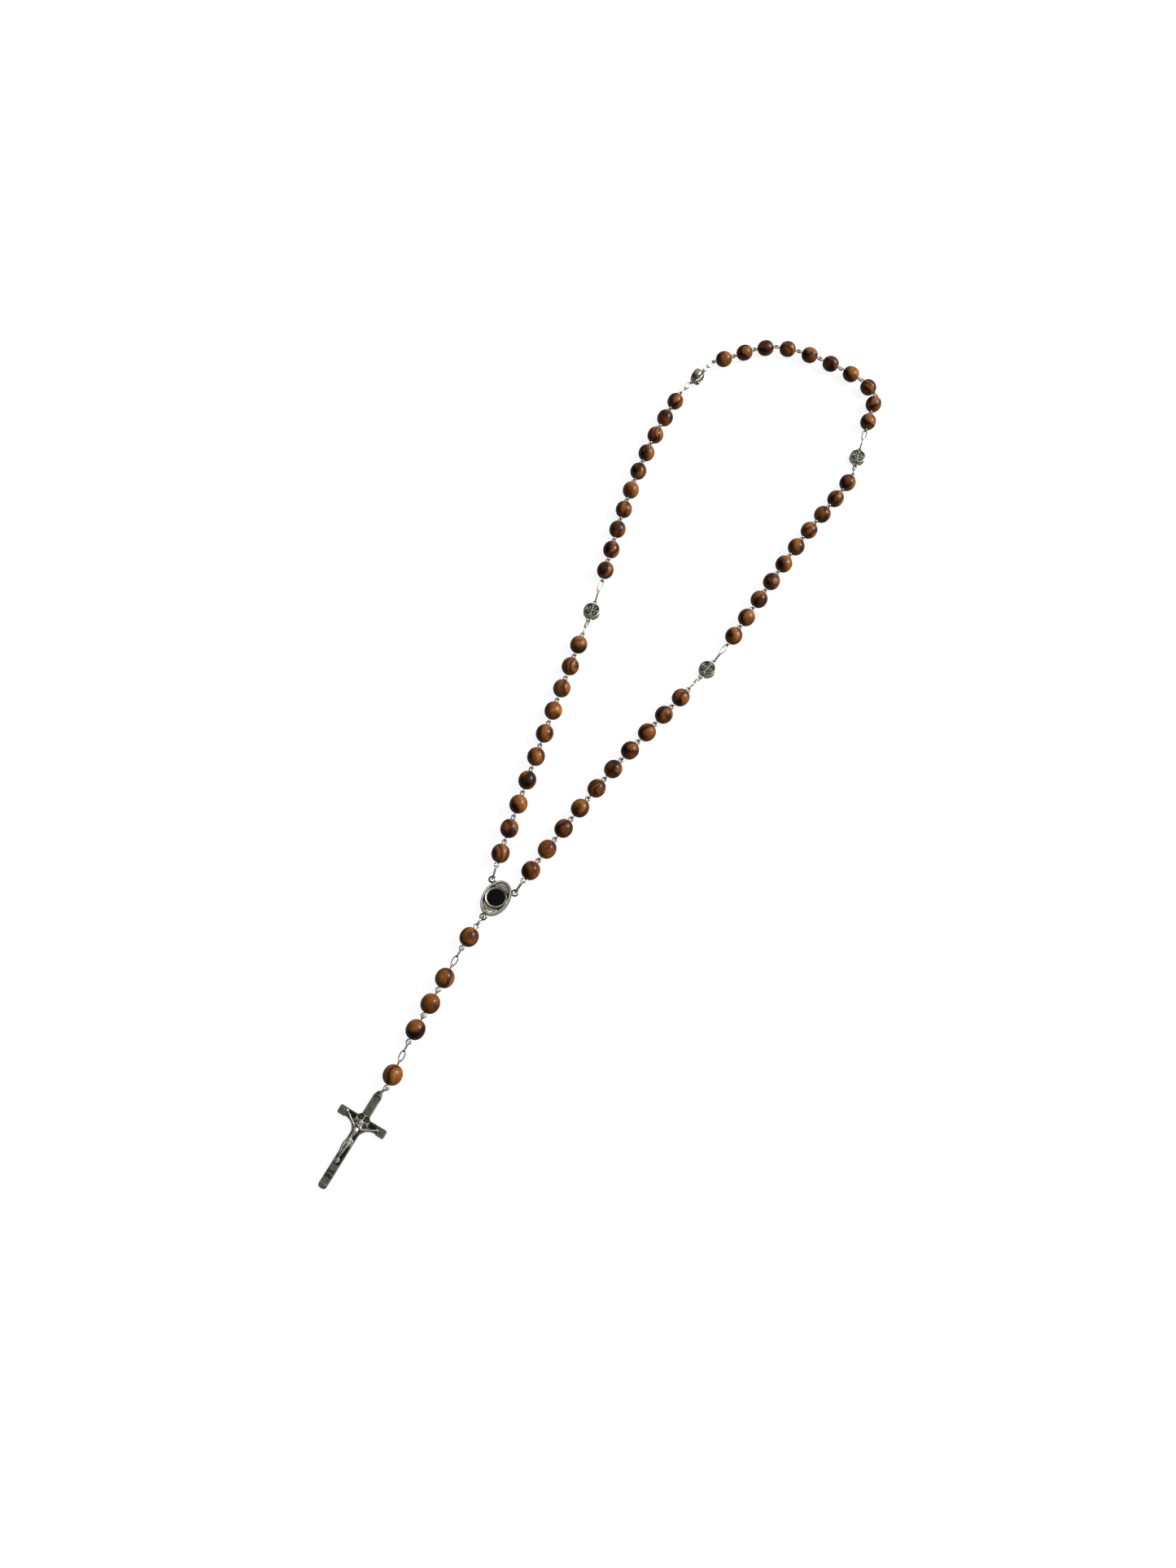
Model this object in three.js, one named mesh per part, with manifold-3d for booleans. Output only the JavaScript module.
// A five-decade rosary lying flat: wooden beads on wire eye pins, four coin medals between
// the decades, an oval centrepiece, a pendant of five beads and a crucifix.
// Millimetres, +Z up, the back of every medal on z = 0 and the loop's long way along +Y.
import * as THREE from 'three';
import { mergeVertices } from 'three/addons/utils/BufferGeometryUtils.js';
import Module from 'manifold-3d';

const wasm = await Module();
wasm.setup();

// Beads
const BEAD_RADIUS = 4;
const BEAD_LENGTH = 8.4;
const BEAD_SIDES = 9;
const BEAD_PROFILE = [[0.58, -0.83], [1, -0.33], [1, 0.33], [0.58, 0.83]];
const DECADE = 10;

// Wire: an eye is a closed ring at each end of a bead's pin, a link is an oval between two eyes
const WIRE = 0.28;
const EYE = 0.95;
const NECK = 0.1;
const WIRE_SIDES = 4;
const EYE_SEGMENTS = 6;
const LINK_OVERLAP = 0.45;

// A joined solid drops details finer than this
const FINEST = 0.02;

// Lengths of the links that lead up to a bead, each from wire axis to wire axis
const EAR_LINK = { length: 5.67, halfWidth: 1.45 };
const JUMP_RING = { length: 4.94, halfWidth: 1.65 };
const CHAIN_LINK = { length: 4.4, halfWidth: 1.0 };

// Medals: before and after are the distances from the two pivots to the middle, and roll is the
// turn about the chain, 0 for a medal on its back and 90 for one on its edge
const MEDAL_RADIUS = 3.9;
const MEDAL_THICKNESS = 3.6;
const MEDALS = [
  { before: 14.5, after: 16, roll: 0 },
  { before: 14.5, after: 13, roll: 80 },
  { before: 13, after: 15.5, roll: 0 },
  { before: 15, after: 15, roll: 0 },
];

// Centrepiece
const OVAL_HALF_WIDTH = 6.2;
const OVAL_HALF_HEIGHT = 8.5;
const FRAME_TOP = 2.9;
const FIELD_HEIGHT = 2.2;
const POCKET_FLOOR = 1.2;
const POCKET_RADIUS = 4.1;
const BEZEL_RADIUS = 4.8;
const BEZEL_TOP = 3.1;
const DISC_GAP = 0.3;
const DISC_THICKNESS = 1.4;
const EAR_RADIUS = 1.25;
const EAR_WIRE = 0.36;
const EAR_HEIGHT = 2.2;
const EARS = { left: [-5.75, 6.05], right: [5.75, 6.05], bottom: [0, -9.8] };
const CENTREPIECE_YAW = -3;

// Crucifix, measured from its top end down to its foot
const CROSS_LENGTH = 42.4;
const CROSS_WIDTH = 21.6;
const CROSS_BAR = 3.7;
const CROSS_THICKNESS = 1.3;
const CROSS_CENTRE = 13.5;
const CROSS_HIP = 2.9;
const CROSS_CAP = 3.4;
const CROSS_HOLE = 1.5;
const MEDALLION_RADIUS = 3.3;
const BADGE_RADIUS = 1.9;
const BADGE_CENTRE = 36.2;

// The crucifix's ring points this much to one side of the cross, from the pivot to the hole
const CROSS_RING = { reach: 4, length: 4.9, halfWidth: 1.8, rise: 0.5, turn: -25 };

// The line that the loop lies along, from the left ear over the top to the right ear
const LOOP_LINE = [
  [-8, 18.1], [-12.5, 42.7], [-19.2, 79.6], [-27.3, 127.2], [-30.3, 146.8], [-35.7, 169.3],
  [-44, 205.4], [-49.2, 241.2], [-50.3, 277], [-48.8, 296.7], [-37.3, 312.2], [-22.5, 328.8],
  [-1.7, 334.5], [22.5, 334], [34, 331.7], [40.5, 324.3], [40.4, 312.5], [46.2, 291.1],
  [47.4, 273.2], [40.6, 228.2], [34.8, 166.8], [32.7, 145.4], [27.6, 125.2], [16.8, 78.4],
  [8.9, 29.7],
];

// The line that the pendant lies along, from the bottom ear to the foot of the cross
const PENDANT_LINE = [
  [-1.3, -20.7], [-1.1, -40.6], [-1.5, -60], [1.1, -84], [1.2, -90], [0.08, -136],
];

const WOOD = new THREE.MeshStandardMaterial({ color: 0x8a5a32, roughness: 0.3, metalness: 0 });
const PEWTER = new THREE.MeshStandardMaterial({ color: 0x77746a, roughness: 0.45, metalness: 1 });
const ENAMEL = new THREE.MeshStandardMaterial({ color: 0x1c1a18, roughness: 0.25, metalness: 0 });

const radians = THREE.MathUtils.degToRad;

// Solids: every helper below returns a manifold solid

function solidOf(geometry) {
  geometry.deleteAttribute('normal');
  geometry.deleteAttribute('uv');
  const merged = mergeVertices(geometry);
  const mesh = new wasm.Mesh({
    numProp: 3,
    vertProperties: new Float32Array(merged.attributes.position.array),
    triVerts: new Uint32Array(merged.index.array),
  });
  return new wasm.Manifold(mesh);
}

function geometryOf(solid) {
  const mesh = solid.getMesh();
  const geometry = new THREE.BufferGeometry();
  geometry.setAttribute('position', new THREE.BufferAttribute(mesh.vertProperties, 3));
  geometry.setIndex(new THREE.BufferAttribute(mesh.triVerts, 1));
  geometry.computeVertexNormals();
  return geometry;
}

// The outer shell of touching solids, without any speck of air trapped between them
function union(solids) {
  const shells = wasm.Manifold.union(solids).simplify(FINEST).decompose();
  const outer = shells.reduce((most, shell) => (shell.volume() > most.volume() ? shell : most));
  if (shells.some((shell) => shell !== outer && shell.volume() > 0)) {
    throw new Error('the joined pieces do not all touch');
  }
  return outer;
}

// A solid of revolution about Z; profile points are [radius, height]
function turned(profile, sides) {
  const points = profile.map(([radius, height]) => new THREE.Vector2(radius, height));
  const geometry = new THREE.LatheGeometry(points, sides);
  geometry.rotateX(Math.PI / 2);
  return solidOf(geometry);
}

function box(sizeX, sizeY, sizeZ, x, y, z) {
  return solidOf(new THREE.BoxGeometry(sizeX, sizeY, sizeZ).translate(x, y, z));
}

// A plate of the given outline, standing on height z
function plate(outline, z, thickness) {
  const shape = new THREE.Shape(outline.map(([x, y]) => new THREE.Vector2(x, y)));
  const geometry = new THREE.ExtrudeGeometry(shape, { depth: thickness, bevelEnabled: false });
  return solidOf(geometry.translate(0, 0, z));
}

function rodAlongX(radius, fromX, toX) {
  const rod = new THREE.CylinderGeometry(radius, radius, toX - fromX, WIRE_SIDES);
  return solidOf(rod.rotateZ(Math.PI / 2).translate((fromX + toX) / 2, 0, 0));
}

// An oval link of wire between two points of the XZ plane, lying flat or turned about its length
function wireLink([x0, z0], [x1, z1], halfWidth, turn) {
  const geometry = new THREE.TorusGeometry(halfWidth, WIRE, WIRE_SIDES, EYE_SEGMENTS);
  geometry.rotateZ(Math.PI / EYE_SEGMENTS);
  const stretch = Math.hypot(x1 - x0, z1 - z0) / 2 - halfWidth;
  const position = geometry.attributes.position;
  for (let i = 0; i < position.count; i++) {
    const x = position.getX(i);
    position.setX(i, x + Math.sign(x) * stretch);
  }
  geometry.rotateX(radians(turn));
  geometry.rotateY(-Math.atan2(z1 - z0, x1 - x0));
  return solidOf(geometry.translate((x0 + x1) / 2, 0, (z0 + z1) / 2));
}

const FLAT = 0;
const UPRIGHT = 90;

function eye(centreX, turn) {
  return wireLink([centreX - EYE, 0], [centreX + EYE, 0], EYE, turn);
}

// Each unit below is drawn along +X from the pivot where it hooks on, at the height of the
// bead's hole. Its length is the distance to the pivot where the next unit hooks on.

const EYE_TO_BEAD = 2 * EYE + WIRE + NECK + BEAD_LENGTH / 2;
const BEAD_TO_PIVOT = BEAD_LENGTH / 2 + NECK + WIRE + EYE;

function bead(centreX) {
  const half = BEAD_LENGTH / 2;
  const rings = BEAD_PROFILE.map(([across, along]) => [BEAD_RADIUS * across, half * along]);
  const profile = [[0, -half], ...rings, [0, half]];
  return turned(profile, BEAD_SIDES).rotate([0, 90, 0]).translate([centreX, 0, 0]);
}

// A bead on its pin; its first eye lies with its near wire at startX
function pinnedBead(startX, startTurn, endTurn) {
  const centre = startX + EYE_TO_BEAD;
  const endReach = endTurn === UPRIGHT ? EYE_TO_BEAD : BEAD_TO_PIVOT;
  const endEye = centre + BEAD_TO_PIVOT;
  const solids = [
    eye(startX + EYE, startTurn),
    bead(centre),
    rodAlongX(WIRE, startX + 2 * EYE, centre - BEAD_LENGTH / 2 + 1),
    rodAlongX(WIRE, centre + BEAD_LENGTH / 2 - 1, endEye - EYE),
    eye(endEye, endTurn),
  ];
  return { solids, end: centre + endReach };
}

// Links one after the other from a height to the bead's height, the first one upright
function leadingLinks(count, { length, halfWidth }, startHeight) {
  const step = length - LINK_OVERLAP;
  const rise = -startHeight / count;
  const solids = [];
  for (let i = 0; i < count; i++) {
    const from = [i * step, startHeight + i * rise];
    const to = [i * step + length, startHeight + i * rise + (rise * length) / step];
    solids.push(wireLink(from, to, halfWidth, i % 2 === 0 ? UPRIGHT : FLAT));
  }
  return { solids, end: count * step };
}

function beadUnit({ leading = 0, link = CHAIN_LINK, startHeight = 0, endTurn = FLAT }) {
  const lead = leadingLinks(leading, link, startHeight);
  const startTurn = leading % 2 === 0 ? UPRIGHT : FLAT;
  const pinned = pinnedBead(lead.end, startTurn, endTurn);
  return { solid: union([...lead.solids, ...pinned.solids]), length: pinned.end };
}

// Three beads in a row, joined eye to eye
function threeBeadUnit() {
  const lead = leadingLinks(2, CHAIN_LINK, 0);
  const solids = [...lead.solids];
  let start = lead.end;
  for (let i = 0; i < 3; i++) {
    const pinned = pinnedBead(start, UPRIGHT, FLAT);
    solids.push(...pinned.solids);
    start = pinned.end;
    if (i < 2) {
      solids.push(rodAlongX(WIRE, start - EYE, start + EYE));
    }
  }
  return { solid: union(solids), length: start };
}

// A cross with a short bar across the end of each arm
function potentCross(reach, bar, z, thickness) {
  const arms = [
    box(2 * reach, bar, thickness, 0, 0, z),
    box(bar, 2 * reach, thickness, 0, 0, z),
  ];
  for (const side of [-1, 1]) {
    arms.push(box(bar, 2.6 * bar, thickness, side * reach, 0, z));
    arms.push(box(2.6 * bar, bar, thickness, 0, side * reach, z));
  }
  return union(arms);
}

function medalDrum() {
  const half = MEDAL_THICKNESS / 2;
  const rim = MEDAL_RADIUS - 0.75;
  const floor = half - 0.35;
  const profile = [
    [0, -half], [rim, -half], [MEDAL_RADIUS, -half + 0.9], [MEDAL_RADIUS, half - 0.9],
    [rim + 0.2, half], [rim - 0.15, half], [rim - 0.35, floor], [0, floor],
  ];
  return union([turned(profile, 16), potentCross(1.7, 0.6, floor + 0.1, 0.4)]);
}

// A coin medal with a cast eyelet at each end and two links each way
function medalUnit({ before, after, roll }) {
  const tilt = radians(roll);
  const lowest = MEDAL_RADIUS * Math.sin(tilt) + (MEDAL_THICKNESS / 2) * Math.cos(tilt);
  const height = lowest - BEAD_RADIUS;
  const eyeletReach = MEDAL_RADIUS + 2 * EYE - 0.2;
  const near = before - eyeletReach;
  const far = after - eyeletReach;
  const length = before + after;
  const drum = medalDrum().rotate([roll, 0, 0]).translate([before, 0, height]);
  const eyelets = [
    [near, before - MEDAL_RADIUS + 0.2],
    [before + MEDAL_RADIUS - 0.2, length - far],
  ];
  const solids = [drum];
  for (const [from, to] of eyelets) {
    solids.push(wireLink([from, height], [to, height], EYE, roll));
  }
  const half = LINK_OVERLAP / 2;
  solids.push(wireLink([0, 0], [near / 2 + half, 0], EYE, UPRIGHT));
  solids.push(wireLink([near / 2 - half, 0], [near + half, height], EYE, (roll - UPRIGHT) / 2));
  const outer = length - (far + EYE) / 2;
  solids.push(wireLink([length - far - half, height], [outer + half, 0], EYE, UPRIGHT - roll / 2));
  solids.push(wireLink([outer - half, 0], [length + EYE, 0], EYE, FLAT));
  return { solid: union(solids), length };
}

// Centrepiece: an oval frame with three ears, and a round disc in its pocket

function centrepieceFrame() {
  const profile = [
    [0, 0], [0.9, 0], [1, 0.9], [1, 2], [0.96, FRAME_TOP], [0.86, FRAME_TOP],
    [0.8, FIELD_HEIGHT], [0, FIELD_HEIGHT],
  ];
  const oval = turned(profile, 28).scale([OVAL_HALF_WIDTH, OVAL_HALF_HEIGHT, 1]);
  const bezelProfile = [
    [0, POCKET_FLOOR], [BEZEL_RADIUS, POCKET_FLOOR], [BEZEL_RADIUS, BEZEL_TOP - 0.5],
    [BEZEL_RADIUS - 0.35, BEZEL_TOP], [0, BEZEL_TOP],
  ];
  const pocketProfile = [
    [0, POCKET_FLOOR], [POCKET_RADIUS, POCKET_FLOOR],
    [POCKET_RADIUS, BEZEL_TOP + 1], [0, BEZEL_TOP + 1],
  ];
  const solids = [oval, turned(bezelProfile, 24)];
  for (const [x, y] of Object.values(EARS)) {
    const ring = new THREE.TorusGeometry(EAR_RADIUS, EAR_WIRE, 5, 10);
    solids.push(solidOf(ring.translate(x, y, EAR_HEIGHT)));
  }
  return union(solids).subtract(turned(pocketProfile, 24));
}

function centrepieceDisc() {
  const radius = POCKET_RADIUS - DISC_GAP;
  const floor = POCKET_FLOOR + DISC_GAP;
  const top = floor + DISC_THICKNESS;
  const profile = [[0, floor], [radius, floor], [radius, top - 0.3], [radius - 0.4, top], [0, top]];
  return turned(profile, 24);
}

// Crucifix, drawn along +X from its top end at x = 0, standing on z = 0

// The flat cross: straight above its arms, and swept in to the shaft below their end caps
function crossBars() {
  const half = CROSS_BAR / 2;
  const reach = CROSS_WIDTH / 2;
  const upper = CROSS_CENTRE - half;
  const lower = CROSS_CENTRE + half;
  const inner = reach - CROSS_CAP;
  const step = 0.3;
  const sweep = inner - half;
  const curve = [0, 30, 60, 90].map((degrees) => [
    lower - step + sweep * (1 - Math.cos(radians(degrees))),
    inner - sweep * Math.sin(radians(degrees)),
  ]);
  const side = [
    [CROSS_HIP - 0.7, half], [upper, half], [upper, reach - 0.6], [upper + 0.6, reach],
    [lower - 0.6, reach], [lower, reach - 0.6], [lower, inner], ...curve,
    [CROSS_LENGTH - 1.2, half], [CROSS_LENGTH, half - 1.2],
  ];
  const mirrored = side.map(([x, y]) => [x, -y]).reverse();
  const outline = [[0, -1], [0, 1], ...side, ...mirrored].reverse();
  return plate(outline, 0, CROSS_THICKNESS);
}

// Raised panels: one below the hip, one at the end of each arm and one at the foot
function crossPanels() {
  const width = CROSS_BAR - 0.9;
  const cap = CROSS_CAP - 0.6;
  const height = CROSS_THICKNESS + 0.15;
  const reach = (CROSS_WIDTH - CROSS_CAP) / 2;
  return [
    box(width, cap, 0.5, CROSS_CENTRE, reach, height),
    box(width, cap, 0.5, CROSS_CENTRE, -reach, height),
    box(CROSS_CAP, width, 0.5, CROSS_HIP + CROSS_CAP / 2, 0, height),
    box(1.4, width, 0.5, CROSS_LENGTH - 1.2, 0, height),
  ];
}

function limb(from, to, radius) {
  const start = new THREE.Vector3(...from);
  const end = new THREE.Vector3(...to);
  const rod = new THREE.CapsuleGeometry(radius, start.distanceTo(end), 2, 6);
  const direction = end.clone().sub(start).normalize();
  const turn = new THREE.Quaternion().setFromUnitVectors(new THREE.Vector3(0, 1, 0), direction);
  rod.applyQuaternion(turn);
  const middle = start.add(end).multiplyScalar(0.5);
  return solidOf(rod.translate(middle.x, middle.y, middle.z));
}

// The figure in relief, in plain round limbs, with its feet on a small oval support
function corpus() {
  const z = CROSS_THICKNESS + 0.55;
  const shoulder = CROSS_CENTRE + 2.5;
  const hip = shoulder + 6;
  const knee = hip + 3.9;
  const foot = knee + 3.8;
  const parts = [
    limb([CROSS_CENTRE, 0.1, z + 0.3], [CROSS_CENTRE + 1, 0, z + 0.3], 1.1),
    limb([shoulder + 0.4, 0, z], [hip, 0, z], 1.35),
    limb([hip, -0.5, z], [knee, -0.4, z + 0.2], 0.85),
    limb([hip, 0.5, z], [knee, 0.5, z + 0.2], 0.85),
    limb([knee, 0, z + 0.1], [foot, 0, z - 0.1], 0.85),
    turned([[0, 0.5], [1.2, 0.5], [1.2, 1.7], [0, 1.7]], 10).translate([foot + 1, 0, 0]),
  ];
  for (const side of [-1, 1]) {
    const elbow = [shoulder - 1.3, side * 3.8, z - 0.1];
    const hand = [CROSS_CENTRE - 0.5, side * 7.4, z - 0.3];
    parts.push(limb([shoulder, side * 1.3, z], elbow, 0.6));
    parts.push(limb(elbow, hand, 0.5));
  }
  return parts;
}

// The cross lies beside the pivot's line, because its ring points to one side of it
function crucifixUnit() {
  const turn = radians(CROSS_RING.turn);
  const top = CROSS_RING.reach * Math.cos(turn) - CROSS_HOLE;
  const aside = CROSS_RING.reach * Math.sin(turn);
  const medallionProfile = [
    [0, 0.5], [MEDALLION_RADIUS, 0.5], [MEDALLION_RADIUS, 1.5],
    [MEDALLION_RADIUS - 0.3, 1.75], [0, 1.75],
  ];
  const badge = turned([[0, 0.5], [BADGE_RADIUS, 0.5], [BADGE_RADIUS, 1.6], [0, 1.6]], 10);
  const shaft = union([
    crossBars(),
    ...crossPanels(),
    turned(medallionProfile, 16).translate([CROSS_CENTRE, 0, 0]),
    badge.translate([BADGE_CENTRE, 0, 0]),
    ...corpus(),
  ]);
  const hole = turned([[0, -1], [0.75, -1], [0.75, 3], [0, 3]], 8).translate([CROSS_HOLE, 0, 0]);
  const cross = shaft.subtract(hole).translate([top, aside, -BEAD_RADIUS]);
  const far = [CROSS_RING.length, CROSS_THICKNESS / 2 + CROSS_RING.rise - BEAD_RADIUS];
  const ring = wireLink([0, 0], far, CROSS_RING.halfWidth, UPRIGHT).rotate([0, 0, CROSS_RING.turn]);
  return { solid: union([cross, ring]), length: top + CROSS_LENGTH };
}

// Layout: pivots found by stepping along a line in straight steps of each unit's length

function turnedAbout([x, y], degrees) {
  const angle = radians(degrees);
  const turnedX = x * Math.cos(angle) - y * Math.sin(angle);
  const turnedY = x * Math.sin(angle) + y * Math.cos(angle);
  return new THREE.Vector3(turnedX, turnedY, 0);
}

const EAR_PIVOTS = {
  left: turnedAbout(EARS.left, CENTREPIECE_YAW),
  right: turnedAbout(EARS.right, CENTREPIECE_YAW),
  bottom: turnedAbout(EARS.bottom, CENTREPIECE_YAW),
};

function smoothLine(points, samples) {
  return new THREE.CatmullRomCurve3(points, false, 'centripetal').getPoints(samples);
}

// Steps along the line; returns each pivot, and how far along the line the last one lies
function walk(line, lengths) {
  const pivots = [line[0]];
  let index = 1;
  let along = 0;
  for (const length of lengths) {
    const from = pivots[pivots.length - 1];
    while (index < line.length - 1 && line[index].distanceTo(from) < length) {
      index += 1;
    }
    const before = line[index - 1].distanceTo(from);
    const after = line[index].distanceTo(from);
    const share = (length - before) / (after - before);
    pivots.push(line[index - 1].clone().lerp(line[index], share));
    along = index - 1 + share;
  }
  return { pivots, along };
}

const LOOP_SAMPLES = 4000;

function loopLine(stretch) {
  const points = LOOP_LINE.map(([x, y]) => new THREE.Vector3(x, y * stretch, 0));
  return smoothLine([EAR_PIVOTS.left, ...points, EAR_PIVOTS.right], LOOP_SAMPLES);
}

// Stretches the line until both halves of the chain meet at the top
function layLoop(leftLengths, rightLengths) {
  let low = 0.95;
  let high = 1.05;
  for (let i = 0; i < 40; i++) {
    const stretch = (low + high) / 2;
    const line = loopLine(stretch);
    const left = walk(line, leftLengths);
    const right = walk([...line].reverse(), rightLengths);
    if (left.along + right.along > LOOP_SAMPLES) {
      low = stretch;
    } else {
      high = stretch;
    }
  }
  const line = loopLine((low + high) / 2);
  const left = walk(line, leftLengths).pivots;
  const right = walk([...line].reverse(), rightLengths).pivots;
  return { left, right };
}

// The units in order from each ear: the left half, the right half and the pendant

const EAR_DROP = EAR_HEIGHT - BEAD_RADIUS;

function beadName(decade, number) {
  return `decade_${decade}_bead_${String(number).padStart(2, '0')}`;
}

function decadeUnits(decade, numbers) {
  return numbers.map((number) => ({
    name: beadName(decade, number),
    material: WOOD,
    ...beadUnit({}),
  }));
}

function firstUnit(decade, number) {
  const unit = beadUnit({ leading: 1, link: EAR_LINK, startHeight: EAR_DROP });
  return { name: beadName(decade, number), material: WOOD, ...unit };
}

function medalEntry(number) {
  return { name: `medal_${number}`, material: PEWTER, ...medalUnit(MEDALS[number - 1]) };
}

const upwards = Array.from({ length: DECADE }, (_, i) => i + 1);
const downwards = [...upwards].reverse();

const leftUnits = [
  firstUnit(1, 1),
  ...decadeUnits(1, upwards.slice(1)),
  medalEntry(1),
  ...decadeUnits(2, upwards),
  medalEntry(2),
  ...decadeUnits(3, upwards.slice(0, 5)),
];

const rightUnits = [
  firstUnit(5, DECADE),
  ...decadeUnits(5, downwards.slice(1)),
  medalEntry(4),
  ...decadeUnits(4, downwards),
  medalEntry(3),
  ...decadeUnits(3, downwards.slice(0, 4)),
  { name: beadName(3, 6), material: WOOD, ...beadUnit({ endTurn: UPRIGHT }) },
];

const pendantUnits = [
  {
    name: 'pendant_bead_1',
    material: WOOD,
    ...beadUnit({ leading: 1, link: JUMP_RING, startHeight: EAR_DROP }),
  },
  { name: 'pendant_beads_2_to_4', material: WOOD, ...threeBeadUnit() },
  { name: 'pendant_bead_5', material: WOOD, ...beadUnit({ leading: 2 }) },
  { name: 'crucifix', material: PEWTER, ...crucifixUnit() },
];

function lengthsOf(units) {
  return units.map((unit) => unit.length);
}

const rosary = new THREE.Group();

function addNode(name, solid, material) {
  const mesh = new THREE.Mesh(geometryOf(solid), material);
  mesh.name = name;
  rosary.add(mesh);
  return mesh;
}

function placeUnits(units, pivots) {
  units.forEach(({ name, solid, material }, i) => {
    const mesh = addNode(name, solid, material);
    const step = pivots[i + 1].clone().sub(pivots[i]);
    mesh.position.set(pivots[i].x, pivots[i].y, BEAD_RADIUS);
    mesh.rotation.z = Math.atan2(step.y, step.x);
  });
}

for (const mesh of [
  addNode('centrepiece_frame', centrepieceFrame(), PEWTER),
  addNode('centrepiece_disc', centrepieceDisc(), ENAMEL),
]) {
  mesh.rotation.z = radians(CENTREPIECE_YAW);
}

const loop = layLoop(lengthsOf(leftUnits), lengthsOf(rightUnits));
placeUnits(leftUnits, loop.left);
placeUnits(rightUnits, loop.right);

const pendantPoints = PENDANT_LINE.map(([x, y]) => new THREE.Vector3(x, y, 0));
const pendantLine = smoothLine([EAR_PIVOTS.bottom, ...pendantPoints], 1000);
placeUnits(pendantUnits, walk(pendantLine, lengthsOf(pendantUnits)).pivots);

// The middle of the whole rosary goes to x = y = 0
rosary.updateMatrixWorld(true);
const middle = new THREE.Box3().setFromObject(rosary, true).getCenter(new THREE.Vector3());
for (const mesh of rosary.children) {
  mesh.position.x -= middle.x;
  mesh.position.y -= middle.y;
}

export default rosary;
